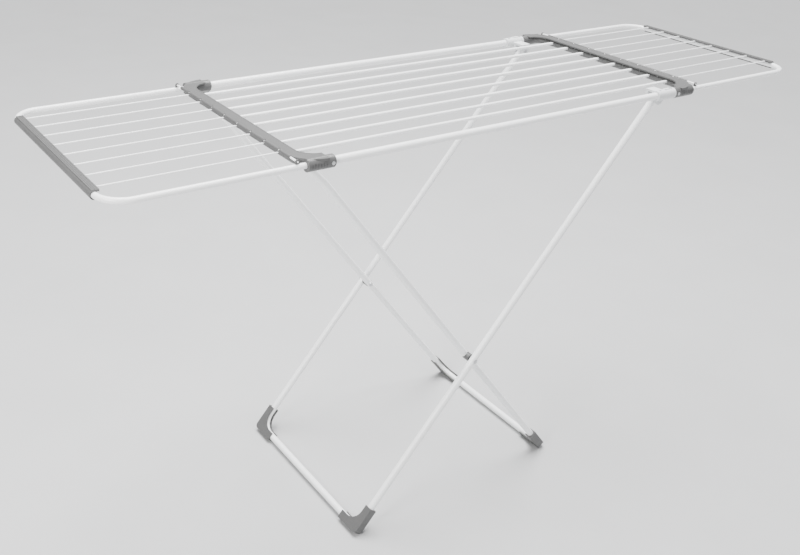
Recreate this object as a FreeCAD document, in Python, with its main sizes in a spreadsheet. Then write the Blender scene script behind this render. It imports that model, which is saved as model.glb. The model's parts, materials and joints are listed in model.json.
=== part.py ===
import FreeCAD, Part
import math
import os
import re
import Sketcher

# Winged clothes drying rack on a folding scissor frame. Millimetres.
# X runs along the deck, Y across it, Z up; the feet stand on Z = 0 and the deck is centred on X = Y = 0.

DIMENSIONS = [
    # deck frame
    ("rail_z", 940.0, "height of the rail axis above the floor"),
    ("rail_y", 245.0, "rail axis from the centre plane"),
    ("rail_half", 470.0, "half length of a rail"),
    ("rail_r", 8.0, "outer radius of the rails"),
    ("rail_bore", 7.1, "inner radius of the rails"),
    ("hoop_x", 515.5, "axis of the end hoop's cross bar"),
    ("hoop_r", 7.0, "outer radius of the end hoops"),
    ("hoop_bend", 45.0, "bend radius of the end hoops"),
    ("hoop_run", 80.0, "hoop length from cross bar to plugged end"),
    ("wall", 1.0, "tube wall"),
    ("rod_r", 3.8, "outer radius of the deck rods"),
    ("rod_bore", 3.2, "inner radius of the deck rods"),
    ("rod_pitch", 52.5, "spacing of the deck rods and the wing wires"),
    ("rod_lift", 2.0, "deck rod axis above the rail axis"),
    # end mouldings
    ("brim_in", 506.5, "inner edge of the moulding's brim"),
    ("brim_low", 9.0, "underside of the brim above the rail axis"),
    ("brim_thick", 2.8, "thickness of the brim"),
    ("corner_x", 471.0, "centre of the moulding's corner arc, X"),
    ("corner_y", 194.0, "centre of the moulding's corner arc, Y"),
    ("corner_r", 63.5, "outer radius of the moulding's corner"),
    ("barrel_r", 8.2, "outer radius of the cover around the hoop"),
    ("sleeve_in", 455.0, "inner end face of the rail sleeves"),
    ("sleeve_out", 513.0, "outer end face of the rail sleeves"),
    ("sleeve_r", 12.5, "outer radius of the rail sleeves"),
    ("rivet_x", 462.5, "position of the sleeve rivets"),
    ("rivet_r", 2.0, "rivet shank radius"),
    # wings
    ("hinge_x", 531.0, "wing hinge axis, X"),
    ("hinge_up", 10.4, "wing hinge axis above the rail axis"),
    ("hinge_rod_r", 2.0, "hinge rod radius"),
    ("hinge_gap", 0.05, "running clearance of the hinge rod in its end bearings"),
    ("bead_r", 3.5, "outer radius of the hinge bead"),
    ("bead_half", 222.0, "half length of the hinge bead"),
    ("skirt_low", 4.4, "lower edge of the moulding's outer skirt above the rail axis"),
    ("skirt_thick", 1.5, "thickness of that skirt"),
    ("wing_end", 884.0, "axis of the wing's outer bar"),
    ("wing_tail", 513.5, "inner end of the wing tubes"),
    ("wing_r", 6.0, "outer radius of the wing tube"),
    ("wing_bend", 50.0, "bend radius of the wing tube"),
    ("wire_r", 1.5, "wing wire radius"),
    ("wire_up", 6.9, "wing wire axis above the rail axis"),
    ("strip_half", 200.0, "half length of the wing's edge strip"),
    # scissor legs
    ("pivot_drop", 16.0, "leg pivots below the rail axis"),
    ("pivot_a_x", -487.0, "fixed pivot of the inner leg frame"),
    ("pivot_b_x", 432.0, "sliding pivot of the outer leg frame"),
    ("cross_z", 368.0, "height of the crossing pins"),
    ("leg_r", 8.0, "outer radius of the leg tubes"),
    ("leg_bend", 40.0, "bend radius at the feet"),
    ("leg_a_y", 191.0, "inner leg frame, tube axis from the centre plane"),
    ("leg_b_y", 217.0, "outer leg frame, tube axis from the centre plane"),
    ("bar_z", 11.5, "height of the floor bars' axis"),
    ("crank_angle", 5.0, "bend at the top of the inner leg frame, degrees"),
    ("crank_r", 120.0, "radius of that bend"),
    ("crank_run", 70.0, "straight length from that bend to the pivot"),
    ("pin_r", 3.0, "radius of the leg pins"),
    ("pin_gap", 0.05, "running clearance on the leg pins"),
    # feet and sliders
    ("foot_wall", 2.5, "foot web outside the tube"),
    ("foot_side", 2.2, "foot flange thickness"),
    ("foot_arm", 56.0, "foot arm length from the tube corner"),
    ("slider_r", 12.0, "outer radius of the slider"),
    ("slider_in", 33.0, "slider length from its pivot towards the middle of the rack"),
    ("slider_out", 22.5, "slider length from its pivot towards the end of the rack"),
    ("slider_gap", 0.05, "running clearance of the slider on the rail"),
]

SIZE = {alias: size for alias, size, note in DIMENSIONS}
PIVOT_Z = SIZE["rail_z"] - SIZE["pivot_drop"]
CROSS_X = (SIZE["pivot_a_x"] + SIZE["pivot_b_x"]) / 2
ARM = math.hypot(SIZE["pivot_b_x"] - CROSS_X, PIVOT_Z - SIZE["cross_z"])
LEAN = math.radians(SIZE["crank_angle"])
CRANK_UP = SIZE["crank_r"] * math.sin(LEAN) + SIZE["crank_run"] * math.cos(LEAN)
CRANK_OUT = SIZE["crank_r"] * (1 - math.cos(LEAN)) + SIZE["crank_run"] * math.sin(LEAN)
SLOPE_B = math.atan2(PIVOT_Z - SIZE["cross_z"], SIZE["pivot_b_x"] - CROSS_X)
SLOPE_A = SLOPE_B + math.asin(CRANK_OUT / ARM)
LOW_A = (SIZE["cross_z"] - SIZE["bar_z"]) / math.sin(SLOPE_A)
LOW_B = (SIZE["cross_z"] - SIZE["bar_z"]) / math.sin(SLOPE_B)
PIVOT_A = LOW_A + math.sqrt(ARM ** 2 - CRANK_OUT ** 2)

# lengths measured up a leg from its floor bar, worked out from the driving dimensions
DERIVED = [
    ("cross_a", LOW_A, "crossing pin on the inner leg frame"),
    ("crank_a", PIVOT_A - CRANK_UP, "start of the crank on the inner leg frame"),
    ("pivot_a", PIVOT_A, "fixed pivot on the inner leg frame"),
    ("crank_out", CRANK_OUT, "how far the crank sets the fixed pivot out of line"),
    ("cross_b", LOW_B, "crossing pin on the outer leg frame"),
    ("pivot_b", LOW_B + ARM, "sliding pivot on the outer leg frame"),
]

doc = FreeCAD.newDocument("drying_rack")
sheet = doc.addObject("Spreadsheet::Sheet", "Dimensions")
for line, (alias, size, note) in enumerate(DIMENSIONS + DERIVED, start=1):
    sheet.set("A%d" % line, note)
    sheet.set("B%d" % line, repr(size))
    sheet.setAlias("B%d" % line, alias)
    SIZE[alias] = size
doc.recompute()

ALIAS = re.compile(r"\b(" + "|".join(sorted(SIZE, key=len, reverse=True)) + r")\b")
Vector = FreeCAD.Vector
Rotation = FreeCAD.Rotation
ALONG = {
    "X": Rotation(Vector(0, 1, 0), 90),
    "Y": Rotation(Vector(1, 0, 0), -90),
    "Z": Rotation(),
}
FINISHED = []


def bound(text):
    """Expression text with every dimension name pointed at the sheet."""
    return ALIAS.sub(r"Dimensions.\1", text)


def bind(thing, prop, text):
    thing.setExpression(prop, bound(str(text)))


def number(text):
    """Present value of an expression, for shapes and frames that start from a plain number."""
    return float(sheet.evalExpression(bound(str(text))))


def place(thing, x, y, z):
    for axis, text in zip("xyz", (x, y, z)):
        bind(thing, "Placement.Base." + axis, text)


def box(name, x, y, z):
    """Box from three (low, high) pairs of expressions."""
    solid = doc.addObject("Part::Box", name)
    for prop, (low, high) in zip(("Length", "Width", "Height"), (x, y, z)):
        bind(solid, prop, "(%s) - (%s)" % (high, low))
    place(solid, x[0], y[0], z[0])
    return solid


def rod(name, axis, radius, start, end, across):
    """Cylinder along an axis from start to end; across holds the two other coordinates in order."""
    solid = doc.addObject("Part::Cylinder", name)
    bind(solid, "Radius", radius)
    bind(solid, "Height", "(%s) - (%s)" % (end, start))
    solid.Placement = FreeCAD.Placement(Vector(), ALONG[axis])
    spot = list(across)
    spot.insert("XYZ".index(axis), start)
    place(solid, *spot)
    return solid


def sector(name, radius, x, y, z, height, first):
    """Quarter disc standing on z, starting at the angle first."""
    solid = doc.addObject("Part::Cylinder", name)
    bind(solid, "Radius", radius)
    bind(solid, "Height", height)
    solid.Angle = 90
    solid.Placement = FreeCAD.Placement(Vector(), Rotation(Vector(0, 0, 1), first))
    place(solid, x, y, z)
    return solid


def elbow(name, bend, radius, x, y, z, first):
    """Quarter of a torus lying flat, starting at the angle first."""
    solid = doc.addObject("Part::Torus", name)
    bind(solid, "Radius1", bend)
    bind(solid, "Radius2", radius)
    solid.Angle3 = 90
    solid.Placement = FreeCAD.Placement(Vector(), Rotation(Vector(0, 0, 1), first))
    place(solid, x, y, z)
    return solid


def fuse(name, solids):
    joined = doc.addObject("Part::MultiFuse", name)
    joined.Shapes = solids
    return joined


def cut(name, base, tools):
    """Base with the tools taken away."""
    if len(tools) > 1:
        tool = fuse(name + "_tools", tools)
    else:
        tool = tools[0]
    result = doc.addObject("Part::Cut", name)
    result.Base = base
    result.Tool = tool
    return result


def group(name, solids):
    """Separate solids kept side by side in one piece."""
    kept = doc.addObject("Part::Compound", name)
    kept.Links = solids
    return kept


def finish(thing, label):
    thing.Label = label
    FINISHED.append(thing)
    return thing


def signed(side, low, high):
    """The (low, high) pair on the positive or the negative side."""
    if side > 0:
        return (str(low), str(high))
    return ("-(%s)" % high, "-(%s)" % low)


def sketch_on(body, role, name):
    drawing = body.newObject("Sketcher::SketchObject", name)
    plane = [part for part in body.Origin.OriginFeatures if part.Role == role][0]
    drawing.AttachmentSupport = [(plane, "")]
    drawing.MapMode = "FlatFace"
    return drawing


def dimension(drawing, values, name, text):
    """Add a constraint and drive it from the sheet."""
    index = drawing.addConstraint(Sketcher.Constraint(*values))
    drawing.renameConstraint(index, name)
    bind(drawing, "Constraints." + name, text)


def ring_profile(body, name, half_width, run, radius):
    """Tube section standing across the local Y axis at the start of a tube's path."""
    ring = sketch_on(body, "XZ_Plane", name)
    bind(ring, "AttachmentOffset.Base.z", "-(%s)" % run)
    centre = Vector(number(half_width), 0, 0)
    for order, size in enumerate((radius, "%s - wall" % radius)):
        ring.addGeometry(Part.Circle(centre, Vector(0, 0, 1), number(size)), False)
        ring.addConstraint(Sketcher.Constraint("PointOnObject", order, 3, -1))
        dimension(ring, ("DistanceX", -1, 1, order, 3, centre.x), "centre%d" % order, half_width)
        dimension(ring, ("Radius", order, number(size)), "radius%d" % order, size)
    return ring


def pipe(body, name, profile, path):
    swept = body.newObject("PartDesign::AdditivePipe", name)
    swept.Profile = profile
    swept.Spine = (path, ["Edge%d" % (edge + 1) for edge in range(path.GeometryCount)])
    return swept


def bent_tube(name, half_width, run, bend, radius):
    """U-shaped tube: its cross bar lies on the local X axis and its arms run up the local Y axis."""
    body = doc.addObject("PartDesign::Body", name + "_body")
    path = sketch_on(body, "XY_Plane", name + "_path")
    wide, far, turn = number(half_width), number(run), number(bend)
    up = Vector(0, 0, 1)
    right_turn = Part.Circle(Vector(wide - turn, turn, 0), up, turn)
    left_turn = Part.Circle(Vector(turn - wide, turn, 0), up, turn)
    path.addGeometry([
        Part.LineSegment(Vector(wide, far, 0), Vector(wide, turn, 0)),
        Part.ArcOfCircle(right_turn, -math.pi / 2, 0),
        Part.LineSegment(Vector(wide - turn, 0, 0), Vector(turn - wide, 0, 0)),
        Part.ArcOfCircle(left_turn, math.pi, 3 * math.pi / 2),
        Part.LineSegment(Vector(-wide, turn, 0), Vector(-wide, far, 0)),
    ], False)
    path.addConstraint([
        Sketcher.Constraint("Tangent", 0, 2, 1, 2),
        Sketcher.Constraint("Tangent", 1, 1, 2, 1),
        Sketcher.Constraint("Tangent", 2, 2, 3, 2),
        Sketcher.Constraint("Tangent", 3, 1, 4, 1),
        Sketcher.Constraint("Vertical", 0),
        Sketcher.Constraint("Vertical", 4),
        Sketcher.Constraint("PointOnObject", 2, 1, -1),
        Sketcher.Constraint("Symmetric", 0, 1, 4, 2, -2),
        Sketcher.Constraint("Equal", 1, 3),
    ])
    dimension(path, ("DistanceX", -1, 1, 0, 1, wide), "half_width", half_width)
    dimension(path, ("DistanceY", -1, 1, 0, 1, far), "run", run)
    dimension(path, ("Radius", 1, turn), "bend", bend)
    pipe(body, name + "_tube", ring_profile(body, name + "_ring", half_width, run, radius), path)
    return body


def crank(body, name, side, offset, start, turn, angle, run, radius):
    """Slightly bent end of one arm, in the plane across the U at the given offset."""
    path = sketch_on(body, "YZ_Plane", name + "_path")
    bind(path, "AttachmentOffset.Base.z", signed(side, offset, offset)[0])
    begin, size, lean, reach = number(start), number(turn), math.radians(number(angle)), number(run)
    arc = Part.Circle(Vector(begin, -size, 0), Vector(0, 0, 1), size)
    bent = Vector(begin + size * math.sin(lean), size * (math.cos(lean) - 1), 0)
    far = bent + Vector(reach * math.cos(lean), -reach * math.sin(lean), 0)
    path.addGeometry([
        Part.ArcOfCircle(arc, math.pi / 2 - lean, math.pi / 2),
        Part.LineSegment(bent, far),
    ], False)
    path.addConstraint([
        Sketcher.Constraint("PointOnObject", 0, 2, -1),
        Sketcher.Constraint("Vertical", 0, 2, 0, 3),
        Sketcher.Constraint("Tangent", 0, 1, 1, 1),
    ])
    dimension(path, ("DistanceX", -1, 1, 0, 2, begin), "start", start)
    dimension(path, ("Radius", 0, size), "turn", turn)
    dimension(path, ("Distance", 1, reach), "run", run)
    dimension(path, ("Angle", 1, 1, -1, 1, lean), "lean", "%s * 1 deg" % angle)
    ring = ring_profile(body, name + "_ring", signed(side, offset, offset)[0], start, radius)
    return pipe(body, name + "_tube", ring, path)


# ---------------------------------------------------------------- deck

SIDES = ((-1, "front"), (1, "rear"))
ENDS = ((-1, "left"), (1, "right"))
SLOTS = ["(%s) * rod_pitch" % (count - 3.5) for count in range(8)]


def rails():
    for side, where in SIDES:
        y = signed(side, "rail_y", "rail_y")[0]
        tube = rod("rail_tube_" + where, "X", "rail_r", "-rail_half", "rail_half", (y, "rail_z"))
        bore = rod("rail_bore_" + where, "X", "rail_bore", "-rail_half - 1", "rail_half + 1", (y, "rail_z"))
        holes = [rivet_hole("rail_hole_%s_%s" % (where, end), side, sign) for sign, end in ENDS]
        finish(cut("rail_cut_" + where, tube, [bore] + holes), "rail_" + where)


def rivet_hole(name, side, end):
    """Hole for a sleeve rivet through sleeve, rail and hoop on the outer side of the rack."""
    x = signed(end, "rivet_x", "rivet_x")[0]
    low, high = signed(side, "rail_y + 5", "rail_y + sleeve_r + 1")
    return rod(name, "Y", "rivet_r", low, high, (x, "rail_z"))


def sleeve_rivets():
    solids = []
    for side, where in SIDES:
        for end, wing in ENDS:
            name = "rivet_%s_%s" % (where, wing)
            x = signed(end, "rivet_x", "rivet_x")[0]
            low, high = signed(side, "rail_y + 5.5", "rail_y + sleeve_r")
            shank = rod(name + "_shank", "Y", "rivet_r", low, high, (x, "rail_z"))
            low, high = signed(side, "rail_y + sleeve_r", "rail_y + sleeve_r + 1.2")
            head = rod(name + "_head", "Y", "rivet_r + 1.6", low, high, (x, "rail_z"))
            solids.append(fuse(name, [shank, head]))
    finish(group("rivets", solids), "sleeve_rivets")


def deck_rods():
    """Eight thin tubes that pass through the hoop covers and end against the two hoops."""
    reach = "hoop_x - hoop_r"
    tubes = []
    for count, y in enumerate(SLOTS):
        axis = (y, "rail_z + rod_lift")
        skin = rod("deck_rod_%d" % count, "X", "rod_r", "-(%s)" % reach, reach, axis)
        bore = rod("deck_rod_bore_%d" % count, "X", "rod_bore", "-hoop_x", "hoop_x", axis)
        tubes.append(cut("deck_tube_%d" % count, skin, [bore]))
    finish(group("rods", tubes), "deck_rods")


def end_hoops():
    for end, where in ENDS:
        name = "end_hoop_" + where
        tube = bent_tube(name, "rail_y", "hoop_run", "hoop_bend", "hoop_r")
        x = signed(end, "hoop_x", "hoop_x")[0]
        tube.Placement = FreeCAD.Placement(Vector(), Rotation(Vector(0, 0, 1), 90 * end))
        place(tube, x, "0", "rail_z")
        holes = [rivet_hole("%s_hole_%s" % (name, side_name), side, end) for side, side_name in SIDES]
        finish(cut(name + "_cut", tube, holes), name)


def corner(end, side, along, across):
    """X and Y of a corner centre given by two sheet names, and the quarter it opens to."""
    x = signed(end, along, along)[0]
    y = signed(side, across, across)[0]
    first = {(1, 1): 0, (-1, 1): 90, (-1, -1): 180, (1, -1): 270}[(end, side)]
    return x, y, first


def moulding_corner(name, end, side):
    """Brim, hoop cover and rail sleeve at one corner of the deck."""
    x, y, first = corner(end, side, "corner_x", "corner_y")
    inner = "brim_in - corner_x"
    disc = sector(name + "_brim", "corner_r", x, y, "rail_z + brim_low", "brim_thick", first)
    hole = rod(name + "_brim_hole", "Z", inner, "rail_z", "rail_z + 20", (x, y))
    rim = sector(name + "_rim", inner + " + 2", x, y, "rail_z + brim_low", "brim_thick + 0.3", first)
    top = cut(name + "_top", fuse(name + "_disc", [disc, rim]), [hole])
    curtain = sector(name + "_curtain", "corner_r", x, y, "rail_z + wing_r + 0.5", "brim_low - wing_r", first)
    behind = rod(name + "_behind", "Z", "corner_r - skirt_thick", "rail_z", "rail_z + 20", (x, y))
    skirt = cut(name + "_skirt", curtain, [behind])
    x, y, first = corner(end, side, "hoop_x - hoop_bend", "rail_y - hoop_bend")
    cover = elbow(name + "_cover", "hoop_bend", "barrel_r", x, y, "rail_z", first)
    y = signed(side, "rail_y", "rail_y")[0]
    sleeve = rod(name + "_sleeve", "X", "sleeve_r", *signed(end, "sleeve_in + 2", "sleeve_out"), (y, "rail_z"))
    lip = doc.addObject("Part::Cone", name + "_lip")
    bind(lip, "Radius1", "sleeve_r")
    bind(lip, "Radius2", "sleeve_r - 1.5")
    bind(lip, "Height", "2")
    lip.Placement = FreeCAD.Placement(Vector(), Rotation(Vector(0, 1, 0), -90 * end))
    place(lip, signed(end, "sleeve_in + 2", "sleeve_in + 2")[0], y, "rail_z")
    return [top, skirt, cover, sleeve, lip]


def moulding_corner_tools(name, end, side):
    """Everything cut from a corner: hoop and rail bores, the rivet hole and the grip grooves."""
    x, y, first = corner(end, side, "hoop_x - hoop_bend", "rail_y - hoop_bend")
    bend = elbow(name + "_bend_bore", "hoop_bend", "hoop_r", x, y, "rail_z", first)
    y = signed(side, "rail_y", "rail_y")[0]
    rail = rod(name + "_rail_bore", "X", "rail_r", *signed(end, "sleeve_in - 1", "rail_half"), (y, "rail_z"))
    plug = rod(name + "_plug_bore", "X", "hoop_r", *signed(end, "rail_half - 1", "hoop_x - hoop_bend"),
               (y, "rail_z"))
    grooves = [
        box("%s_groove_%d" % (name, count),
            signed(end, "sleeve_in + 20 + 6 * %d" % count, "sleeve_in + 22 + 6 * %d" % count),
            signed(side, "rail_y + sleeve_r - 1", "rail_y + sleeve_r + 1"),
            ("rail_z - 6", "rail_z + 5"))
        for count in range(6)]
    return [bend, rail, plug, rivet_hole(name + "_rivet_hole", side, end)] + grooves


def pivot_lugs(name):
    """Lugs under the left moulding that carry the fixed pivot of the inner leg frame."""
    solids = []
    holes = []
    for side, where in SIDES:
        y = signed(side, "leg_a_y + leg_r + 1", "leg_a_y + leg_r + 9")
        lug = "%s_lug_%s" % (name, where)
        eye = rod(lug + "_eye", "Y", "9", *y, ("pivot_a_x", "rail_z - pivot_drop"))
        arm = box(lug + "_arm", ("5.5 - hoop_x", "pivot_a_x + 9"), y, ("rail_z - 10", "rail_z + 2"))
        neck = box(lug + "_neck", ("pivot_a_x - 9", "pivot_a_x + 9"), y,
                   ("rail_z - pivot_drop", "rail_z - 9"))
        solids += [eye, arm, neck]
        holes.append(rod(lug + "_hole", "Y", "pin_r + pin_gap", y[0] + " - 1", y[1] + " + 1",
                         ("pivot_a_x", "rail_z - pivot_drop")))
    return solids, holes


def end_moulding(end, where):
    """Plastic cover of one deck end: brim, hoop cover, hinge bead, gussets, sleeves and, left, lugs."""
    name = "moulding_" + where
    solids = [
        box(name + "_brim", signed(end, "brim_in", "hinge_x"), ("-corner_y", "corner_y"),
            ("rail_z + brim_low", "rail_z + brim_low + brim_thick")),
        box(name + "_rim", signed(end, "brim_in", "brim_in + 2"), ("-corner_y", "corner_y"),
            ("rail_z + brim_low", "rail_z + brim_low + brim_thick + 0.3")),
        box(name + "_skirt", signed(end, "hinge_x + bead_r - skirt_thick", "hinge_x + bead_r"),
            ("-corner_y", "corner_y"), ("rail_z + skirt_low", "rail_z + hinge_up")),
        rod(name + "_cover", "Y", "barrel_r", "-(rail_y - hoop_bend)", "rail_y - hoop_bend",
            (signed(end, "hoop_x", "hoop_x")[0], "rail_z")),
        rod(name + "_bead", "Y", "bead_r", "-bead_half", "bead_half",
            (signed(end, "hinge_x", "hinge_x")[0], "rail_z + hinge_up")),
    ]
    for count in range(9):
        y = "(%d) * rod_pitch" % (count - 4)
        solids.append(box("%s_gusset_%d" % (name, count), signed(end, "brim_in + 1", "hoop_x - 5"),
                          (y + " - 1", y + " + 1"), ("rail_z + 0.5", "rail_z + brim_low")))
    tools = [
        rod(name + "_hoop_bore", "Y", "hoop_r", "-(rail_y - hoop_bend)", "rail_y - hoop_bend",
            (signed(end, "hoop_x", "hoop_x")[0], "rail_z")),
        box(name + "_mouth", signed(end, "hoop_x - 4.9", "hoop_x + 4.9"),
            ("-(rail_y - hoop_bend - 4)", "rail_y - hoop_bend - 4"), ("rail_z - 12", "rail_z - 3")),
        rod(name + "_hinge_bore", "Y", "hinge_rod_r + 0.35", "-bead_half + 17", "bead_half - 17",
            (signed(end, "hinge_x", "hinge_x")[0], "rail_z + hinge_up")),
        rod(name + "_bearing", "Y", "hinge_rod_r + hinge_gap", "-bead_half - 1", "bead_half + 1",
            (signed(end, "hinge_x", "hinge_x")[0], "rail_z + hinge_up")),
    ]
    for count, y in enumerate(SLOTS):
        tools.append(rod("%s_socket_%d" % (name, count), "X", "rod_r",
                         *signed(end, "brim_in", "hoop_x - hoop_r + 2"), (y, "rail_z + rod_lift")))
        tools.append(box("%s_notch_%d" % (name, count),
                         signed(end, "hinge_x - bead_r - 0.2", "hinge_x + 9"),
                         (y + " - 1.8", y + " + 1.8"), ("rail_z + skirt_low - 1", "rail_z + 20")))
    for side, side_name in SIDES:
        solids += moulding_corner("%s_%s" % (name, side_name), end, side)
        tools += moulding_corner_tools("%s_%s" % (name, side_name), end, side)
    if end < 0:
        lugs, holes = pivot_lugs(name)
        solids += lugs
        tools += holes
    finish(cut(name + "_cut", fuse(name + "_blank", solids), tools), "end_moulding_" + where)


# ---------------------------------------------------------------- wings

def wing(end, where):
    """One folding wing: bent tube, wires, hinge rod with its tabs, edge strip and end caps."""
    name = "wing_" + where
    tube = bent_tube(name + "_frame", "rail_y", "wing_end - wing_tail", "wing_bend", "wing_r")
    tube.Placement = FreeCAD.Placement(Vector(), Rotation(Vector(0, 0, 1), 90 * end))
    place(tube, signed(end, "wing_end", "wing_end")[0], "0", "rail_z")
    finish(tube, name + "_tube")

    wires = [rod("%s_wire_%d" % (name, count), "X", "wire_r", *signed(end, "hinge_x - 1.5", "wing_end - 2.8"),
                 (y, "rail_z + wire_up"))
             for count, y in enumerate(SLOTS)]
    finish(group(name + "_wire_set", wires), name + "_wires")

    axis = (signed(end, "hinge_x", "hinge_x")[0], "rail_z + hinge_up")
    spindle = rod(name + "_spindle", "Y", "hinge_rod_r", "-rail_y - 3", "rail_y + 3", axis)
    finish(spindle, name + "_hinge_rod")

    tabs = []
    caps = []
    for side, side_name in SIDES:
        tab = "%s_tab_%s" % (name, side_name)
        y = signed(side, "rail_y - 1.5", "rail_y + 1.5")
        line = signed(side, "rail_y", "rail_y")[0]
        plate = box(tab + "_plate", signed(end, "hinge_x - 4", "hinge_x + 4"), y,
                    ("rail_z + 3", "rail_z + hinge_up"))
        crown = rod(tab + "_crown", "Y", "4", *y, axis)
        saddle = rod(tab + "_saddle", "X", "wing_r", *signed(end, "hinge_x - 8", "hinge_x + 8"),
                     (line, "rail_z"))
        eye = rod(tab + "_eye", "Y", "hinge_rod_r", y[0] + " - 1", y[1] + " + 1", axis)
        tabs.append(cut(tab, fuse(tab + "_blank", [plate, crown]), [saddle, eye]))
        cap = "%s_cap_%s" % (name, side_name)
        spigot = rod(cap + "_spigot", "X", "wing_r - wall", *signed(end, "wing_tail", "wing_tail + 9"),
                     (line, "rail_z"))
        face = rod(cap + "_face", "X", "wing_r", *signed(end, "sleeve_out + 0.2", "wing_tail"),
                   (line, "rail_z"))
        caps.append(fuse(cap, [spigot, face]))
    finish(group(name + "_tab_pair", tabs), name + "_hinge_tabs")
    finish(group(name + "_cap_pair", caps), name + "_end_caps")
    edge_strip(end, name)


def edge_strip(end, name):
    """Plastic channel over the wing's outer bar: flat top, rounded outer side, open towards the deck."""
    half = ("-strip_half", "strip_half")
    inner = "wing_end - 9"
    top = "rail_z + wing_r + 3.4"
    axis = (signed(end, "wing_end", "wing_end")[0], "rail_z")
    round_side = rod(name + "_strip_round", "Y", "wing_r + 2.4", *half, axis)
    roof = box(name + "_strip_roof", signed(end, inner, "wing_end + 4"), half, ("rail_z + wing_r", top))
    lip = box(name + "_strip_lip", signed(end, inner, inner + " + 1.6"), half, ("rail_z + wing_r - 1", top))
    bar = rod(name + "_strip_bar", "Y", "wing_r", *half, axis)
    mouth = box(name + "_strip_mouth", signed(end, "wing_end - 20", "wing_end - 1.5"), half,
                ("rail_z - 12", "rail_z + wing_r - 1"))
    lines = [box("%s_strip_line_%d" % (name, count),
                 signed(end, "wing_end + %s" % at, "wing_end + %s + 1" % at), half,
                 (top + " - 0.5", top + " + 1"))
             for count, at in enumerate((-6, -2.5, 1))]
    notches = [box("%s_strip_notch_%d" % (name, count), signed(end, inner + " - 1", "wing_end - 1.5"),
                   (y + " - 1.6", y + " + 1.6"),
                   ("rail_z + wire_up - wire_r - 0.6", "rail_z + wire_up + wire_r"))
               for count, y in enumerate(SLOTS)]
    finish(cut(name + "_strip_cut", fuse(name + "_strip_blank", [round_side, roof, lip]),
               [bar, mouth] + lines + notches), name + "_strip")


# ---------------------------------------------------------------- legs

def leg_frame(slope, low, towards):
    """Placement of a leg's own frame: X across the rack, Y up the leg, its origin on the floor bar."""
    up = Vector(towards * math.cos(slope), 0, math.sin(slope))
    across = Vector(0, 1, 0)
    normal = across.cross(up)
    origin = Vector(CROSS_X, 0, SIZE["cross_z"]) - up * low
    turn = Rotation(FreeCAD.Matrix(across.x, up.x, normal.x, 0,
                                   across.y, up.y, normal.y, 0,
                                   across.z, up.z, normal.z, 0,
                                   0, 0, 0, 1))
    return FreeCAD.Placement(origin, turn)


FRAME_A = leg_frame(SLOPE_A, LOW_A, -1)
FRAME_B = leg_frame(SLOPE_B, LOW_B, 1)
CRANKED = FreeCAD.Placement(Vector(), Rotation(Vector(1, 0, 0), -SIZE["crank_angle"]))


def through_hole(name, radius, half, up, out="0"):
    """Pin hole across a leg frame, through both arms."""
    reach = "%s + leg_r + 1" % half
    return rod(name, "X", radius, "-(%s)" % reach, reach, (up, out))


def leg_tubes():
    inner = bent_tube("leg_a_frame", "leg_a_y", "crank_a", "leg_bend", "leg_r")
    for side, where in SIDES:
        crank(inner, "leg_a_crank_" + where, side, "leg_a_y", "crank_a", "crank_r", "crank_angle",
              "crank_run + 9", "leg_r")
    holes = [through_hole("leg_a_cross_hole", "pin_r", "leg_a_y", "cross_a"),
             through_hole("leg_a_pivot_hole", "pin_r", "leg_a_y", "pivot_a", "-crank_out")]
    drilled = finish(cut("leg_a_drilled", inner, holes), "leg_a_tube")
    drilled.Placement = FRAME_A

    outer = bent_tube("leg_b_frame", "leg_b_y", "pivot_b + 9", "leg_bend", "leg_r")
    holes = [through_hole("leg_b_cross_hole", "pin_r + pin_gap", "leg_b_y", "cross_b"),
             through_hole("leg_b_pivot_hole", "pin_r", "leg_b_y", "pivot_b")]
    drilled = finish(cut("leg_b_drilled", outer, holes), "leg_b_tube")
    drilled.Placement = FRAME_B


def end_plug(name, placement):
    """Plug in the open end of a leg tube; its own Z runs out of the tube."""
    spigot = rod(name + "_spigot", "Z", "leg_r - wall", "-5", "0", ("0", "0"))
    flange = rod(name + "_flange", "Z", "leg_r", "0", "1.2", ("0", "0"))
    dome = doc.addObject("Part::Cone", name + "_dome")
    bind(dome, "Radius1", "leg_r")
    bind(dome, "Radius2", "leg_r - 2")
    bind(dome, "Height", "1.3")
    place(dome, "0", "0", "1.2")
    plug = fuse(name, [spigot, flange, dome])
    plug.Placement = placement
    return plug


def end_plugs():
    out_of_tube = FreeCAD.Placement(Vector(), Rotation(Vector(1, 0, 0), -90))
    inner = []
    outer = []
    for side, where in SIDES:
        at_pivot = FreeCAD.Placement(Vector(side * SIZE["leg_a_y"], SIZE["pivot_a"], -SIZE["crank_out"]),
                                     CRANKED.Rotation)
        beyond = FreeCAD.Placement(Vector(0, 9, 0), Rotation())
        inner.append(end_plug("leg_a_plug_" + where, FRAME_A * at_pivot * beyond * out_of_tube))
        at_end = FreeCAD.Placement(Vector(side * SIZE["leg_b_y"], SIZE["pivot_b"] + 9, 0), Rotation())
        outer.append(end_plug("leg_b_plug_" + where, FRAME_B * at_end * out_of_tube))
    finish(group("leg_a_plug_pair", inner), "leg_a_end_plugs")
    finish(group("leg_b_plug_pair", outer), "leg_b_end_plugs")


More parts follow.
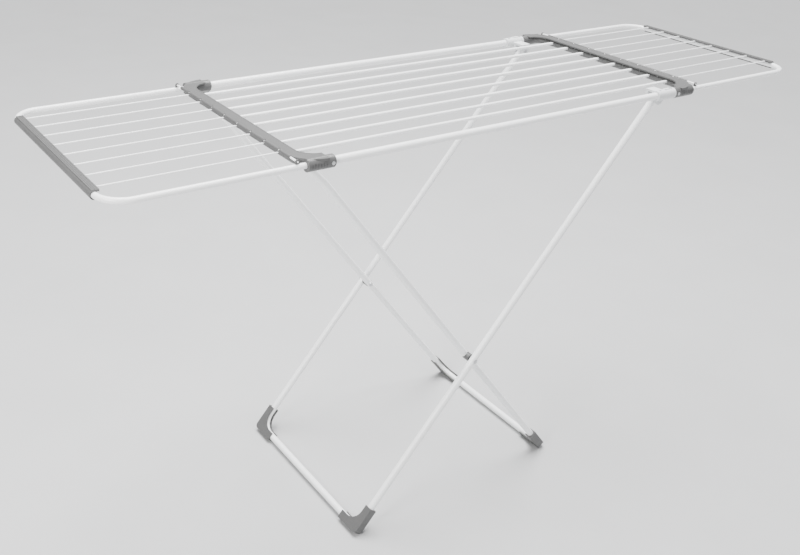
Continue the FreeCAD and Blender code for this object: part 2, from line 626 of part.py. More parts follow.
def feet(label, half, frame):
    """Corner shoes of one leg frame: web outside the bend, two flanges, open inside, flat sole."""
    name = label + "_front"
    outer = "(leg_r + foot_wall)"
    inner = "(leg_r + 0.5)"
    flanges = ("-(leg_r + foot_side)", "leg_r + foot_side")
    turn = "leg_bend - " + half
    mouth = ("0.6 - leg_r", "leg_r - 0.6")
    inside = box(name + "_inside", ("-" + half, turn), ("0", "leg_bend"), flanges)
    hollow = rod(name + "_hollow", "Z", "leg_bend - " + inner, "-20", "20", (turn, "leg_bend"))
    solids = [
        box(name + "_upright", ("-%s - %s" % (half, outer), "%s - %s" % (inner, half)), ("0", "foot_arm"),
            flanges),
        box(name + "_along", ("-" + half, "foot_arm - " + half), ("-" + outer, inner), flanges),
        rod(name + "_toe", "Z", outer, *flanges, ("-" + half, "0")),
        cut(name + "_web", inside, [hollow]),
    ]
    tools = [
        elbow(name + "_bend", "leg_bend", "leg_r", turn, "leg_bend", "0", 180),
        rod(name + "_tube_up", "Y", "leg_r", "leg_bend", "foot_arm + 1", ("-" + half, "0")),
        rod(name + "_tube_in", "X", "leg_r", turn, "foot_arm + 1 - " + half, ("0", "0")),
        sector(name + "_mouth", "leg_bend", turn, "leg_bend", mouth[0], "2 * leg_r - 1.2", 180),
        box(name + "_mouth_up", ("-" + half, "leg_r + 1 - " + half), ("leg_bend", "foot_arm + 1"), mouth),
        box(name + "_mouth_in", (turn, "foot_arm + 1 - " + half), ("0", "leg_r + 1"), mouth),
    ]
    shell = cut(name + "_shell", fuse(name + "_blank", solids), tools)
    shell.Placement = frame
    floor = box(name + "_floor", ("-600", "600"), ("-400", "400"), ("-60", "0"))
    front = finish(cut(name + "_flat", shell, [floor]), name)
    rear = doc.addObject("Part::Mirroring", label + "_rear_mirror")
    rear.Source = front
    rear.Normal = (0, 1, 0)
    finish(rear, label + "_rear")


# ---------------------------------------------------------------- pins and sliders

CROSSING = ("(pivot_a_x + pivot_b_x) / 2", "cross_z")
FIXED_PIVOT = ("pivot_a_x", "rail_z - pivot_drop")
SLIDING_PIVOT = ("pivot_b_x", "rail_z - pivot_drop")


def pin(name, side, axis, radius, start, end, heads):
    """Pin along Y from start to end, measured outwards, with a flat head over each (low, high) pair."""
    solids = [rod(name + "_shank", "Y", radius, *signed(side, start, end), axis)]
    for count, (low, high) in enumerate(heads):
        solids.append(rod("%s_head_%d" % (name, count), "Y", radius + " + 2.5", *signed(side, low, high),
                          axis))
    return fuse(name, solids)


def pins():
    lug_face = "leg_a_y + leg_r + 9"
    inside = "leg_a_y - leg_r"
    outside = "leg_b_y + leg_r"
    pivots = []
    crossings = []
    sliding = []
    for side, where in SIDES:
        pivots.append(pin("pivot_pin_" + where, side, FIXED_PIVOT, "pin_r", inside + " - 1.8",
                          lug_face + " + 2.2",
                          [(inside + " - 1.8", inside), (lug_face + " + 0.3", lug_face + " + 2.2")]))
        crossings.append(pin("crossing_pin_" + where, side, CROSSING, "pin_r", inside + " - 1.8",
                             outside + " + 2.1",
                             [(inside + " - 1.8", inside), (outside + " + 0.3", outside + " + 2.1")]))
        sliding.append(pin("slider_pin_" + where, side, SLIDING_PIVOT, "pin_r", "leg_b_y - 17.8",
                           "leg_b_y + 15", [("leg_b_y - 17.8", "leg_b_y - 16.3")]))
    finish(group("pivot_pin_pair", pivots), "leg_a_pivot_pins")
    finish(group("crossing_pin_pair", crossings), "leg_crossing_pins")
    finish(group("slider_pin_pair", sliding), "slider_pins")


def crossing_spacers():
    """Spacers between the two leg frames, saddled on the inner tubes."""
    solids = []
    for side, where in SIDES:
        name = "crossing_spacer_" + where
        disc = rod(name + "_disc", "X", "leg_r + 1", *signed(side, "leg_a_y", "leg_b_y - leg_r - 0.4"),
                   ("cross_a", "0"))
        saddle = rod(name + "_saddle", "Y", "leg_r", "cross_a - 20", "cross_a + 20",
                     (signed(side, "leg_a_y", "leg_a_y")[0], "0"))
        eye = rod(name + "_eye", "X", "pin_r", *signed(side, "leg_a_y - 1", "leg_b_y"), ("cross_a", "0"))
        solids.append(cut(name, disc, [saddle, eye]))
    pair = finish(group("crossing_spacer_pair", solids), "crossing_spacers")
    pair.Placement = FRAME_A


def slider(side, where):
    """White clip that runs on a rail and carries the outer leg frame in a fork below it."""
    name = "slider_" + where
    left, right = "pivot_b_x - slider_in", "pivot_b_x + slider_out"
    y = signed(side, "rail_y", "rail_y")[0]
    body = rod(name + "_body", "X", "slider_r", left, right, (y, "rail_z"))
    low = "rail_z - pivot_drop - 10"
    fork = ("pivot_b_x - 13", "pivot_b_x + 13")
    solids = [body]
    for cheek, (near, far) in (("outer", ("leg_b_y + 9", "leg_b_y + 15")),
                               ("inner", ("leg_b_y - 16", "leg_b_y - 9.5"))):
        across = signed(side, near, far)
        solids.append(box("%s_%s" % (name, cheek), fork, across, ("rail_z - pivot_drop", "rail_z + 3")))
        solids.append(rod("%s_%s_end" % (name, cheek), "Y", "13", *across, SLIDING_PIVOT))
    bridge = box(name + "_bridge", fork, signed(side, "leg_b_y - 16", "rail_y"), ("rail_z - 2", "rail_z + 3"))
    crown = box(name + "_crown", ("pivot_b_x - 9", "pivot_b_x + 9"), signed(side, "rail_y - 3", "rail_y + 3"),
                ("rail_z + 8", "rail_z + slider_r + 1"))
    solids += [bridge, crown]
    tools = [
        rod(name + "_bore", "X", "rail_r + slider_gap", left + " - 1", right + " + 1", (y, "rail_z")),
        rod(name + "_eye", "Y", "pin_r + pin_gap", *signed(side, "leg_b_y - 20", "leg_b_y + 15.5"),
            SLIDING_PIVOT),
    ]
    for count, at in enumerate(("- 22", "+ 15")):
        tools.append(box("%s_window_%d" % (name, count), ("pivot_b_x %s - 3" % at, "pivot_b_x %s + 3" % at),
                         signed(side, "rail_y - 4", "rail_y + 4"), ("rail_z + 9", "rail_z + 20")))
    finish(cut(name + "_cut", fuse(name + "_blank", solids), tools), name)


# ---------------------------------------------------------------- the whole rack

rails()
end_hoops()
deck_rods()
sleeve_rivets()
for end, where in ENDS:
    end_moulding(end, where)
    wing(end, where)
leg_tubes()
end_plugs()
feet("leg_a_foot", "leg_a_y", FRAME_A)
feet("leg_b_foot", "leg_b_y", FRAME_B)
for side, where in SIDES:
    slider(side, where)
pins()
crossing_spacers()
doc.recompute()

for thing in doc.Objects:
    if "Invalid" in thing.State or "Error" in thing.State:
        raise RuntimeError("%s did not build: %s" % (thing.Label, thing.State))
os.makedirs("parts", exist_ok=True)
for piece in FINISHED:
    if piece.Shape.isNull() or not piece.Shape.isValid():
        raise RuntimeError(piece.Label + " has no valid shape")
    piece.Shape.exportStep("parts/%s.step" % piece.Label)
    print("%-24s solids %2d  volume %10.1f" % (piece.Label, len(piece.Shape.Solids), piece.Shape.Volume))
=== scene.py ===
import json
import math

import bpy
from mathutils import Matrix, Vector


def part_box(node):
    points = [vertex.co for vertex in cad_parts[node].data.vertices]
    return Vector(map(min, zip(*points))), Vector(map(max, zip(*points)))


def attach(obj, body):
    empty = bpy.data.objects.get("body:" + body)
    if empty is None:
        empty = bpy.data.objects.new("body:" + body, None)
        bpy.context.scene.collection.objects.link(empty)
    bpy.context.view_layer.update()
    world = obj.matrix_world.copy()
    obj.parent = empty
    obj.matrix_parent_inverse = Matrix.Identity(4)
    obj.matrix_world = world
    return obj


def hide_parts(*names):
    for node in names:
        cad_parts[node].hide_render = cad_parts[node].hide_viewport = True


# Winged clothes drying rack, studio view. Metres, in the CAD row frame.

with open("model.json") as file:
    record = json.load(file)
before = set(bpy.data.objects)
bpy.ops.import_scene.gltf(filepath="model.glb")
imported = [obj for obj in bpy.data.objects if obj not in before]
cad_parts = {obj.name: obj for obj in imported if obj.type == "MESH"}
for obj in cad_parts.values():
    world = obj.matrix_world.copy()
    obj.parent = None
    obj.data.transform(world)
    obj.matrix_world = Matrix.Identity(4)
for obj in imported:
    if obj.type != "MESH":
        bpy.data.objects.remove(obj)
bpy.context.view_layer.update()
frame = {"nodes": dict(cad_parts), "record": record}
record = frame["record"]
JOINTS = {joint["name"]: joint for joint in record["behaviour"]["joints"]}
BODY_OF = {node: body for body, nodes in record["behaviour"]["bodies"].items() for node in nodes}
SLOT_OF = {part["node"]: part["material_slot"] for part in record["subparts"]}

# bends of the tubes, metres, as in the CAD model
WING_BEND = 0.050
LEG_BEND = 0.040
CRANK_BEND = 0.120
CRANK_RUN = 0.070
CRANK_ANGLE = math.radians(5)
LEG_RADIUS = 0.008
FLOOR_BAR_UP = 0.0115
BEYOND_PIVOT = 0.009

# skin of a modelled tube, metres
RING_STEP = 0.012
BEND_STEP = 0.002
SEAM_DEPTH = 0.00008

# weld beads of the wing wires, half sizes in metres
INNER_BEAD = (0.0016, 0.0011, 0.0010)
OUTER_BEAD = (0.0022, 0.0021, 0.0016)

# shanks of the rivets and pins, radius in metres
RIVET_SHANK = 0.002
PIN_SHANK = 0.003

# finish of the CAD nodes: rounded edge, distance of merged points, and the angles of a fold and a flat face
EDGE_WIDTH = 0.0004
MERGE_DISTANCE = 0.000002
EDGE_ANGLE = math.radians(34)
FLAT_ANGLE = math.radians(0.5)


# ---------------------------------------------------------------- materials

def shader(name, colour, roughness, metallic=0.0, coat=0.0, coat_roughness=0.1, ior=1.5):
    """A material with its Principled shader and a texture coordinate node in object space."""
    material = bpy.data.materials.new(name)
    material.use_nodes = True
    tree = material.node_tree
    principled = tree.nodes["Principled BSDF"]
    principled.inputs["Base Color"].default_value = (*colour, 1)
    principled.inputs["Roughness"].default_value = roughness
    principled.inputs["Metallic"].default_value = metallic
    principled.inputs["IOR"].default_value = ior
    principled.inputs["Coat Weight"].default_value = coat
    principled.inputs["Coat Roughness"].default_value = coat_roughness
    place = tree.nodes.new("ShaderNodeTexCoord").outputs["Object"]
    return material, tree, principled, place


def noise(tree, place, scale, detail=4.0, roughness=0.5, stretch=(1, 1, 1)):
    """Noise value at a number of cells per metre, stretched along the row axes."""
    mapping = tree.nodes.new("ShaderNodeMapping")
    mapping.inputs["Scale"].default_value = stretch
    tree.links.new(place, mapping.inputs["Vector"])
    texture = tree.nodes.new("ShaderNodeTexNoise")
    texture.inputs["Scale"].default_value = scale
    texture.inputs["Detail"].default_value = detail
    texture.inputs["Roughness"].default_value = roughness
    tree.links.new(mapping.outputs["Vector"], texture.inputs["Vector"])
    return texture.outputs["Fac"]


def cells(tree, place, scale):
    """Distance to the nearest of randomly scattered points."""
    texture = tree.nodes.new("ShaderNodeTexVoronoi")
    texture.inputs["Scale"].default_value = scale
    tree.links.new(place, texture.inputs["Vector"])
    return texture.outputs["Distance"]


def span(tree, value, low, high, to_low, to_high):
    """Value remapped and held between two limits."""
    remap = tree.nodes.new("ShaderNodeMapRange")
    for socket, number in zip(("From Min", "From Max", "To Min", "To Max"), (low, high, to_low, to_high)):
        remap.inputs[socket].default_value = number
    tree.links.new(value, remap.inputs["Value"])
    return remap.outputs["Result"]


def maths(tree, operation, first, second):
    """One arithmetic step on two sockets or numbers."""
    node = tree.nodes.new("ShaderNodeMath")
    node.operation = operation
    for socket, value in zip(node.inputs, (first, second)):
        if isinstance(value, (int, float)):
            socket.default_value = value
        else:
            tree.links.new(value, socket)
    return node.outputs["Value"]


def blend_colours(tree, factor, first, second):
    """Mix of two colours, or of a colour socket and a colour."""
    mix = tree.nodes.new("ShaderNodeMix")
    mix.data_type = "RGBA"
    for socket, value in ((mix.inputs[6], first), (mix.inputs[7], second)):
        if isinstance(value, tuple):
            socket.default_value = (*value, 1)
        else:
            tree.links.new(value, socket)
    tree.links.new(factor, mix.inputs[0])
    return mix.outputs[2]


def bump(tree, principled, layers):
    """Chain of bump nodes from (height, strength, distance) layers."""
    normal = None
    for height, strength, distance in layers:
        node = tree.nodes.new("ShaderNodeBump")
        node.inputs["Strength"].default_value = strength
        node.inputs["Distance"].default_value = distance
        tree.links.new(height, node.inputs["Height"])
        if normal is not None:
            tree.links.new(normal, node.inputs["Normal"])
        normal = node.outputs["Normal"]
    tree.links.new(normal, principled.inputs["Normal"])


def powder_coat(name, colour, gloss, peel):
    """White powder coat: orange peel, faint runs, a little dust and rare hairline scratches."""
    material, tree, principled, place = shader(name, colour, gloss, coat=0.25, coat_roughness=0.12)
    clouds = noise(tree, place, 9, 5, 0.55)
    dust = noise(tree, place, 60, 8, 0.65)
    speck = cells(tree, place, 420)
    scratch = noise(tree, place, 55, 3, 0.5, (0.6, 9, 9))
    dusty = tuple(0.90 * channel for channel in colour)
    warm = (colour[0] * 0.985, colour[1] * 0.97, colour[2] * 0.945)
    tint = blend_colours(tree, span(tree, clouds, 0.42, 0.72, 0.0, 0.55), colour, warm)
    tint = blend_colours(tree, span(tree, dust, 0.56, 0.74, 0.0, 0.5), tint, dusty)
    tint = blend_colours(tree, span(tree, speck, 0.10, 0.05, 0.0, 0.22), tint, (0.42, 0.42, 0.41))
    tree.links.new(tint, principled.inputs["Base Color"])
    rough = maths(tree, "ADD", span(tree, clouds, 0.3, 0.7, gloss - 0.06, gloss + 0.07),
                  span(tree, dust, 0.5, 0.75, 0.0, 0.14))
    rough = maths(tree, "ADD", rough, span(tree, scratch, 0.68, 0.74, 0.0, 0.2))
    tree.links.new(rough, principled.inputs["Roughness"])
    bump(tree, principled, [
        (noise(tree, place, peel, 2, 0.4), 0.22, 0.0002),
        (noise(tree, place, 130, 2, 0.5), 0.10, 0.0006),
        (span(tree, scratch, 0.69, 0.74, 0.0, 1.0), 0.06, 0.0001),
    ])
    return material


def moulded(name, colour, rough, grain, scuff, worn):
    """Moulded plastic: spark-eroded grain with painted shade in its pits, flow marks, a fine mottle and
    rubbed high spots.
    """
    material, tree, principled, place = shader(name, colour, rough, ior=1.49)
    flow = noise(tree, place, 22, 4, 0.6, (1, 1, 2.4))
    rub = noise(tree, place, 75, 7, 0.7)
    mottle = noise(tree, place, 330, 2, 0.6)
    pits = cells(tree, place, grain)
    fine = noise(tree, place, grain * 1.7, 3, 0.6)
    darker = tuple(0.86 * channel for channel in colour)
    tint = blend_colours(tree, span(tree, flow, 0.35, 0.68, 0.0, 0.8), colour, darker)
    tint = blend_colours(tree, span(tree, rub, 0.60, 0.76, 0.0, scuff), tint, worn)
    tint = blend_colours(tree, span(tree, mottle, 0.46, 0.62, 0.0, 0.75), tint, darker)
    # painted shade: the colour is darkened in the grain pits, where the bump below makes its hollows
    pit_shade = tuple(0.6 * channel for channel in colour)
    tint = blend_colours(tree, span(tree, pits, 0.0, 0.45, 0.22, 0.0), tint, pit_shade)
    tree.links.new(tint, principled.inputs["Base Color"])
    roughness = maths(tree, "ADD", span(tree, flow, 0.3, 0.7, rough - 0.05, rough + 0.06),
                      span(tree, rub, 0.55, 0.8, 0.0, -0.16))
    tree.links.new(roughness, principled.inputs["Roughness"])
    bump(tree, principled, [
        (pits, 0.35, 0.00018),
        (fine, 0.30, 0.00012),
        (flow, 0.10, 0.0006),
    ])
    return material


def plated(name, colour):
    """Zinc plated steel: fine turning marks and dull patches."""
    material, tree, principled, place = shader(name, colour, 0.32, metallic=1.0)
    brushed = noise(tree, place, 700, 3, 0.6, (1, 6, 1))
    patches = noise(tree, place, 160, 6, 0.6)
    dull = tuple(0.62 * channel for channel in colour)
    tint = blend_colours(tree, span(tree, patches, 0.5, 0.7, 0.0, 0.8), colour, dull)
    tree.links.new(tint, principled.inputs["Base Color"])
    rough = maths(tree, "ADD", span(tree, brushed, 0.3, 0.7, 0.22, 0.4),
                  span(tree, patches, 0.5, 0.7, 0.0, 0.2))
    tree.links.new(rough, principled.inputs["Roughness"])
    bump(tree, principled, [(brushed, 0.35, 0.00008), (patches, 0.15, 0.0002)])
    return material


def studio_floor(name):
    """Pale matt floor with a very faint mottle."""
    material, tree, principled, place = shader(name, (0.65, 0.65, 0.65), 0.75)
    mottle = noise(tree, place, 3, 6, 0.55)
    tint = blend_colours(tree, span(tree, mottle, 0.3, 0.7, 0.0, 1.0),
                         (0.465, 0.468, 0.472), (0.443, 0.446, 0.45))
    tree.links.new(tint, principled.inputs["Base Color"])
    tree.links.new(span(tree, mottle, 0.3, 0.7, 0.68, 0.82), principled.inputs["Roughness"])
    bump(tree, principled, [(noise(tree, place, 180, 4, 0.6), 0.08, 0.0008)])
    return material


MATERIALS = {
    "tube_white": powder_coat("tube_white", (0.92, 0.93, 0.94), 0.30, 750),
    "wire_white": powder_coat("wire_white", (0.91, 0.92, 0.93), 0.36, 1300),
    "plastic_grey": moulded("plastic_grey", (0.097, 0.097, 0.097), 0.44, 900, 0.35,
                            (0.14, 0.14, 0.139)),
    "plastic_white": moulded("plastic_white", (0.76, 0.775, 0.785), 0.40, 1100, 0.25, (0.66, 0.67, 0.67)),
    "pin_steel": plated("pin_steel", (0.60, 0.61, 0.62)),
}


# ---------------------------------------------------------------- CAD pieces

def dress(node, width):
    """Material on a CAD node and, where a width is given, merged faces and a small rounded edge."""
    piece = frame["nodes"][node]
    piece.data.materials.clear()
    piece.data.materials.append(MATERIALS[SLOT_OF[node]])
    if not width:
        return
    merge = piece.modifiers.new("merge", "WELD")
    merge.merge_threshold = MERGE_DISTANCE
    flat = piece.modifiers.new("flat", "DECIMATE")
    flat.decimate_type = "DISSOLVE"
    flat.angle_limit = FLAT_ANGLE
    edge = piece.modifiers.new("edge", "BEVEL")
    edge.width = width
    edge.segments = 2
    edge.limit_method = "ANGLE"
    edge.angle_limit = EDGE_ANGLE
    edge.use_clamp_overlap = True
    even = piece.modifiers.new("even", "WEIGHTED_NORMAL")
    even.keep_sharp = True


# ---------------------------------------------------------------- modelled pieces

def piece_from(name, verts, faces, body, slot, stands_for=(), sharp=35):
    """A new mesh that rides on a CAD body and takes a material slot."""
    mesh = bpy.data.meshes.new(name)
    mesh.from_pydata(verts, [], faces)
    mesh.polygons.foreach_set("use_smooth", [True] * len(mesh.polygons))
    mesh.set_sharp_from_angle(angle=math.radians(sharp))
    mesh.materials.append(MATERIALS[slot])
    mesh.update()
    shown = bpy.data.objects.new(name, mesh)
    bpy.context.scene.collection.objects.link(shown)
    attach(shown, body)
    if stands_for:
        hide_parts(*stands_for)
    return shown


def rounded_path(corners, bends, step):
    """Polyline through the corner points with each inner corner turned on its own radius."""
    path = [corners[0]]
    for before, corner, after, bend in zip(corners, corners[1:], corners[2:], bends):
        back, ahead = (before - corner).normalized(), (after - corner).normalized()
        half = back.angle(ahead) / 2
        centre = corner + (back + ahead).normalized() * (bend / math.sin(half))
        start = corner + back * (bend / math.tan(half))
        end = corner + ahead * (bend / math.tan(half))
        turn = (start - centre).angle(end - centre)
        steps = max(2, int(turn * bend / step))
        axis = (start - centre).cross(end - centre).normalized()
        path += [centre + Matrix.Rotation(turn * count / steps, 3, axis) @ (start - centre)
                 for count in range(steps + 1)]
    path.append(corners[-1])
    return path


def divided(path, longest):
    """The same path with its long stretches cut into shorter ones."""
    dense = [path[0]]
    for first, second in zip(path, path[1:]):
        steps = max(1, math.ceil((second - first).length / longest))
        dense += [first.lerp(second, count / steps) for count in range(1, steps + 1)]
    return dense


def swept(path, radius, sides, wobble=0.0, seam=None, ends=0.0):
    """Tube skin along a path, with a slight wobble, a thin weld seam and ends that ease in."""
    verts, faces = [], []
    tangent = (path[1] - path[0]).normalized()
    across = tangent.orthogonal().normalized()
    lengths = [0.0]
    for first, second in zip(path, path[1:]):
        lengths.append(lengths[-1] + (second - first).length)
    for index, point in enumerate(path):
        ahead = (path[min(index + 1, len(path) - 1)] - path[max(index - 1, 0)]).normalized()
        across = (across - ahead * across.dot(ahead)).normalized()
        up = ahead.cross(across)
        from_end = min(lengths[index], lengths[-1] - lengths[index])
        ease = ends * max(0.0, 1 - from_end / (2 * ends)) if ends else 0.0
        for side in range(sides):
            angle = 2 * math.pi * side / sides
            wave = math.sin(lengths[index] * 61 + 2.2 * math.sin(lengths[index] * 23) + angle)
            size = radius - ease - wobble * (0.5 + 0.5 * wave)
            if seam is not None and side not in seam:
                size -= SEAM_DEPTH
            verts.append(point + across * (math.cos(angle) * size) + up * (math.sin(angle) * size))
    for ring in range(len(path) - 1):
        for side in range(sides):
            near, following = ring * sides + side, ring * sides + (side + 1) % sides
            faces.append((near, following, following + sides, near + sides))
    faces.append(tuple(reversed(range(sides))))
    faces.append(tuple(range(len(verts) - sides, len(verts))))
    return verts, faces


def joined(parts):
    """Several (verts, faces) pairs as one."""
    verts, faces = [], []
    for part_verts, part_faces in parts:
        base = len(verts)
        verts += part_verts
        faces += [tuple(index + base for index in face) for face in part_faces]
    return verts, faces


def turned(centre, axis, profile, sides=28):
    """Solid of revolution about an axis through a centre, from (distance along, radius) pairs."""
    across = axis.orthogonal().normalized()
    up = axis.cross(across)
    verts, faces = [], []
    for along, radius in profile:
        for side in range(sides):
            angle = 2 * math.pi * side / sides
            spoke = across * (math.cos(angle) * radius) + up * (math.sin(angle) * radius)
            verts.append(centre + axis * along + spoke)
    for ring in range(len(profile) - 1):
        for side in range(sides):
            near, following = ring * sides + side, ring * sides + (side + 1) % sides
            faces.append((near, following, following + sides, near + sides))
    faces.append(tuple(reversed(range(sides))))
    faces.append(tuple(range(len(verts) - sides, len(verts))))
    return verts, faces


def bead(centre, sizes, rings=10, sides=14):
    """Small weld bead: an ellipsoid with an uneven skin."""
    verts, faces = [], []
    for ring in range(rings + 1):
        polar = math.pi * ring / rings
        for side in range(sides):
            angle = 2 * math.pi * side / sides
            lump = 1 - 0.06 * math.sin(3 * angle + 5 * polar + centre.y * 900)
            verts.append(centre + Vector((sizes[0] * lump * math.sin(polar) * math.cos(angle),
                                          sizes[1] * lump * math.sin(polar) * math.sin(angle),
                                          sizes[2] * lump * math.cos(polar))))
    for ring in range(rings):
        for side in range(sides):
            near, following = ring * sides + side, ring * sides + (side + 1) % sides
            faces.append((near, near + sides, following + sides, following))
    return verts, faces


def islands(node):
    """Boxes of the separate solids of a CAD node, from its connected vertices merged by place."""
    mesh = frame["nodes"][node].data
    place_of = {}
    member = []
    for vertex in mesh.vertices:
        key = tuple(round(v, 6) for v in vertex.co)
        member.append(place_of.setdefault(key, len(place_of)))
    parent = list(range(len(place_of)))

    def root(index):
        while parent[index] != index:
            parent[index] = parent[parent[index]]
            index = parent[index]
        return index

    for edge in mesh.edges:
        parent[root(member[edge.vertices[0]])] = root(member[edge.vertices[1]])
    boxes = {}
    for key, index in place_of.items():
        low, high = boxes.setdefault(root(index), (list(key), list(key)))
        for axis in range(3):
            low[axis] = min(low[axis], key[axis])
            high[axis] = max(high[axis], key[axis])
    return [(Vector(low), Vector(high)) for low, high in sorted(boxes.values())]


def along_x(low, high):
    """Axis ends and radius of a bar whose box is (low, high) and which runs along X."""
    middle = (low + high) / 2
    start = Vector((low.x, middle.y, middle.z))
    end = Vector((high.x, middle.y, middle.z))
    return start, end, (high.z - low.z) / 2


def straight_bars():
    """Rails, deck rods and wing wires, each with a fine skin. The rails have a weld seam."""
    for node, sides, step, wobble in (
            ("rail_front", 48, 0.012, 0.00004), ("rail_rear", 48, 0.012, 0.00004),
            ("deck_rods", 24, 0.010, 0.00005), ("wing_left_wires", 20, 0.009, 0.00006),
            ("wing_right_wires", 20, 0.009, 0.00006)):
        skins = []
        for low, high in islands(node):
            start, end, radius = along_x(low, high)
            seam = (sides // 2,) if node.startswith("rail") else None
            skins.append(swept(divided([start, end], step), radius, sides, wobble, seam, ends=0.0006))
        verts, faces = joined(skins)
        piece_from(node + "_skin", verts, faces, BODY_OF[node], SLOT_OF[node], (node,))


def wing_frames():
    """Wing tubes, hinge rods and the weld beads that hold the wires."""
    for where, end in (("left", -1), ("right", 1)):
        name = "wing_%s_tube" % where
        low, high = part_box(name)
        radius = (high.z - low.z) / 2
        y, z = high.y - radius, (low.z + high.z) / 2
        tail, bar = (high.x, low.x + radius) if end < 0 else (low.x, high.x - radius)
        corners = [Vector(corner) for corner in ((tail, -y, z), (bar, -y, z), (bar, y, z), (tail, y, z))]
        path = divided(rounded_path(corners, (WING_BEND, WING_BEND), BEND_STEP), RING_STEP)
        verts, faces = swept(path, radius, 40, 0.00004, (20,))
        piece_from(name + "_skin", verts, faces, "wing_" + where, SLOT_OF[name], (name,))

        rod = "wing_%s_hinge_rod" % where
        low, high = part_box(rod)
        middle = (low + high) / 2
        rod_r = (high.z - low.z) / 2
        path = divided([Vector((middle.x, low.y, middle.z)), Vector((middle.x, high.y, middle.z))], 0.010)
        parts = [swept(path, rod_r, 24, 0.00003, None, ends=0.0005)]
        for wire_low, wire_high in islands("wing_%s_wires" % where):
            start, finish, wire_r = along_x(wire_low, wire_high)
            inner = finish if end < 0 else start
            outer = start if end < 0 else finish
            parts.append(bead(Vector((middle.x, inner.y + 0.0012, inner.z + wire_r)), INNER_BEAD))
            parts.append(bead(Vector((outer.x, outer.y, outer.z - 0.0004)), OUTER_BEAD))
        verts, faces = joined(parts)
        piece_from(rod + "_skin", verts, faces, "wing_" + where, SLOT_OF[rod], (rod,))


def leg_frames():
    """Both leg tubes: straight arms, rounded foot corners and, on the inner frame, the bent top ends."""
    fixed = Vector(JOINTS["legs_fold"]["pos_m"])
    cross = Vector(JOINTS["legs_cross"]["pos_m"])
    sliding = Vector(JOINTS["slider_swivel"]["pos_m"])

    up = (sliding - cross).normalized()
    base = cross - up * ((cross.z - FLOOR_BAR_UP) / up.z)
    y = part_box("leg_b_tube")[1].y - LEG_RADIUS
    leg_skin("leg_b_tube", [sliding + up * BEYOND_PIVOT, base], y, (LEG_BEND, LEG_BEND))

    offset = CRANK_BEND * (1 - math.cos(CRANK_ANGLE)) + CRANK_RUN * math.sin(CRANK_ANGLE)
    rise = CRANK_BEND * math.sin(CRANK_ANGLE) + CRANK_RUN * math.cos(CRANK_ANGLE)
    reach = (fixed - cross).length
    slope = math.atan2(fixed.z - cross.z, cross.x - fixed.x) + math.asin(offset / reach)
    up = Vector((-math.cos(slope), 0, math.sin(slope)))
    base = cross - up * ((cross.z - FLOOR_BAR_UP) / up.z)
    top = math.sqrt(reach ** 2 - offset ** 2)
    knee = cross + up * (top - rise + CRANK_BEND * math.tan(CRANK_ANGLE / 2))
    end = fixed + (fixed - knee).normalized() * BEYOND_PIVOT
    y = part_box("leg_a_tube")[1].y - LEG_RADIUS
    leg_skin("leg_a_tube", [end, knee, base], y, (CRANK_BEND, LEG_BEND, LEG_BEND, CRANK_BEND))


def leg_skin(node, arm, y, bends):
    """Skin of a U-shaped leg tube whose arms follow the points given, top end first, at -y and y."""
    across = Vector((0, y, 0))
    corners = [point - across for point in arm] + [point + across for point in reversed(arm)]
    path = divided(rounded_path(corners, bends, BEND_STEP), RING_STEP)
    verts, faces = swept(path, LEG_RADIUS, 48, 0.00004, (12,))
    piece_from(node + "_skin", verts, faces, BODY_OF[node], SLOT_OF[node], (node,))


def domed_heads():
    """Pins and rivets as turned pieces with domed, slightly dished heads."""
    for node in ("sleeve_rivets", "leg_a_pivot_pins", "leg_crossing_pins", "slider_pins"):
        parts = []
        for low, high in islands(node):
            middle = (low + high) / 2
            out = Vector((0, 1 if middle.y > 0 else -1, 0))
            inner = min(abs(low.y), abs(high.y))
            outer = max(abs(low.y), abs(high.y))
            head = (high.x - low.x) / 2
            shank = RIVET_SHANK if node == "sleeve_rivets" else PIN_SHANK
            origin = Vector((middle.x, 0, middle.z))
            crown = [(outer - 0.0012, head * 0.97), (outer - 0.0009, head), (outer - 0.0005, head * 0.9),
                     (outer - 0.0001, head * 0.62), (outer, head * 0.45), (outer - 0.0003, head * 0.30),
                     (outer - 0.0004, head * 0.08)]
            if node == "sleeve_rivets":
                profile = [(inner, shank), (outer - 0.0012, shank)] + crown
            elif node == "slider_pins":
                profile = [(inner, head * 0.5), (inner + 0.0004, head * 0.94), (inner + 0.0014, head),
                           (inner + 0.0015, shank), (outer - 0.0004, shank), (outer, shank * 0.8)]
            else:
                profile = [(inner, head * 0.5), (inner + 0.0005, head * 0.94), (inner + 0.0016, head),
                           (inner + 0.0018, shank), (outer - 0.0013, shank)] + crown
            parts.append(turned(origin, out, profile))
        verts, faces = joined(parts)
        piece_from(node + "_heads", verts, faces, BODY_OF[node], SLOT_OF[node], (node,), sharp=50)


straight_bars()
wing_frames()
leg_frames()
domed_heads()
for node in frame["nodes"]:
    if not frame["nodes"][node].hide_render:
        dress(node, 0.0 if "hoop" in node else EDGE_WIDTH)


# ---------------------------------------------------------------- studio

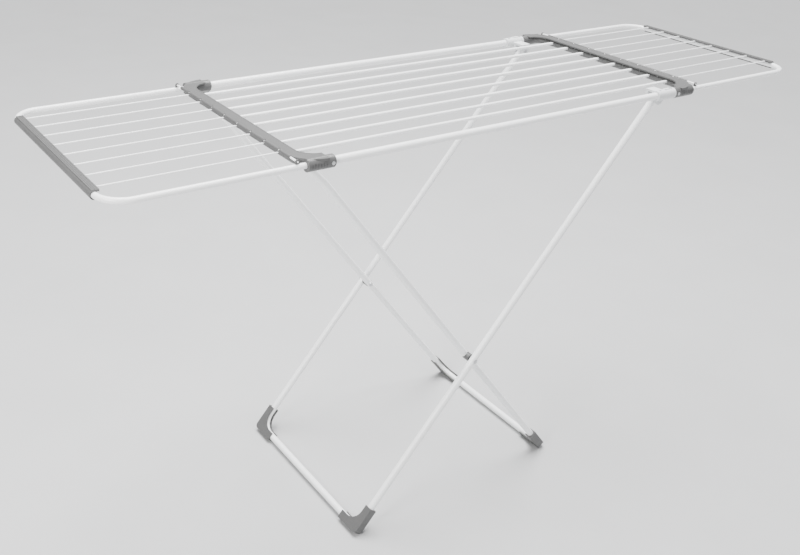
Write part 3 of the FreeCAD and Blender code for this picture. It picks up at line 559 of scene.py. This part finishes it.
def area_light(name, spot, target, size, power, colour=(1, 1, 1)):
    """Soft rectangular light near the rack."""
    light = bpy.data.lights.new(name, "AREA")
    light.shape = "RECTANGLE"
    light.size, light.size_y = size
    light.energy = power
    light.color = colour
    lamp = bpy.data.objects.new(name, light)
    lamp.location = spot
    lamp.rotation_euler = (Vector(target) - Vector(spot)).to_track_quat("-Z", "Y").to_euler()
    bpy.context.scene.collection.objects.link(lamp)


def broad_light(name, direction, strength, spread):
    """Far soft light that shines the same way everywhere."""
    light = bpy.data.lights.new(name, "SUN")
    light.energy = strength
    light.angle = math.radians(spread)
    lamp = bpy.data.objects.new(name, light)
    lamp.rotation_euler = Vector(direction).to_track_quat("-Z", "Y").to_euler()
    bpy.context.scene.collection.objects.link(lamp)


def studio():
    """Pale floor, even sky and soft lights."""
    bpy.ops.mesh.primitive_plane_add(size=60, location=(0, 0, -0.0005))
    floor = bpy.context.object
    floor.name = "floor"
    floor.data.materials.append(studio_floor("studio_floor"))
    world = bpy.data.worlds.new("studio")
    world.use_nodes = True
    background = world.node_tree.nodes["Background"]
    background.inputs["Color"].default_value = (0.95, 0.955, 0.965, 1)
    background.inputs["Strength"].default_value = 0.40
    bpy.context.scene.world = world
    broad_light("overhead", (-0.17, -0.24, -1.0), 5.4, 45)
    broad_light("front", (-0.2, 1.0, -0.62), 1.05, 40)
    area_light("key", (0.3, 0.7, 3.5), (0, 0, 0.5), (2.2, 2.2), 220)
    area_light("side", (-2.3, -0.8, 1.7), (-0.88, 0, 0.94), (0.8, 0.8), 62, (1.0, 0.99, 0.97))


def camera():
    """Photograph's viewpoint: to the left in front of the rack and well above the deck."""
    spot, target, roll = Vector((-1.378, -1.597, 1.585)), Vector((-0.335, 0.0, 0.726)), math.radians(2.39)
    data = bpy.data.cameras.new("camera")
    data.sensor_width = 36.0
    data.lens = 44.33
    data.shift_x = 0.109
    data.shift_y = -0.089
    data.dof.use_dof = False
    seen = bpy.data.objects.new("camera", data)
    turn = (target - spot).to_track_quat("-Z", "Y").to_matrix().to_4x4()
    seen.matrix_world = Matrix.Translation(spot) @ turn @ Matrix.Rotation(roll, 4, "Z")
    bpy.context.scene.collection.objects.link(seen)
    bpy.context.scene.camera = seen


studio()
camera()
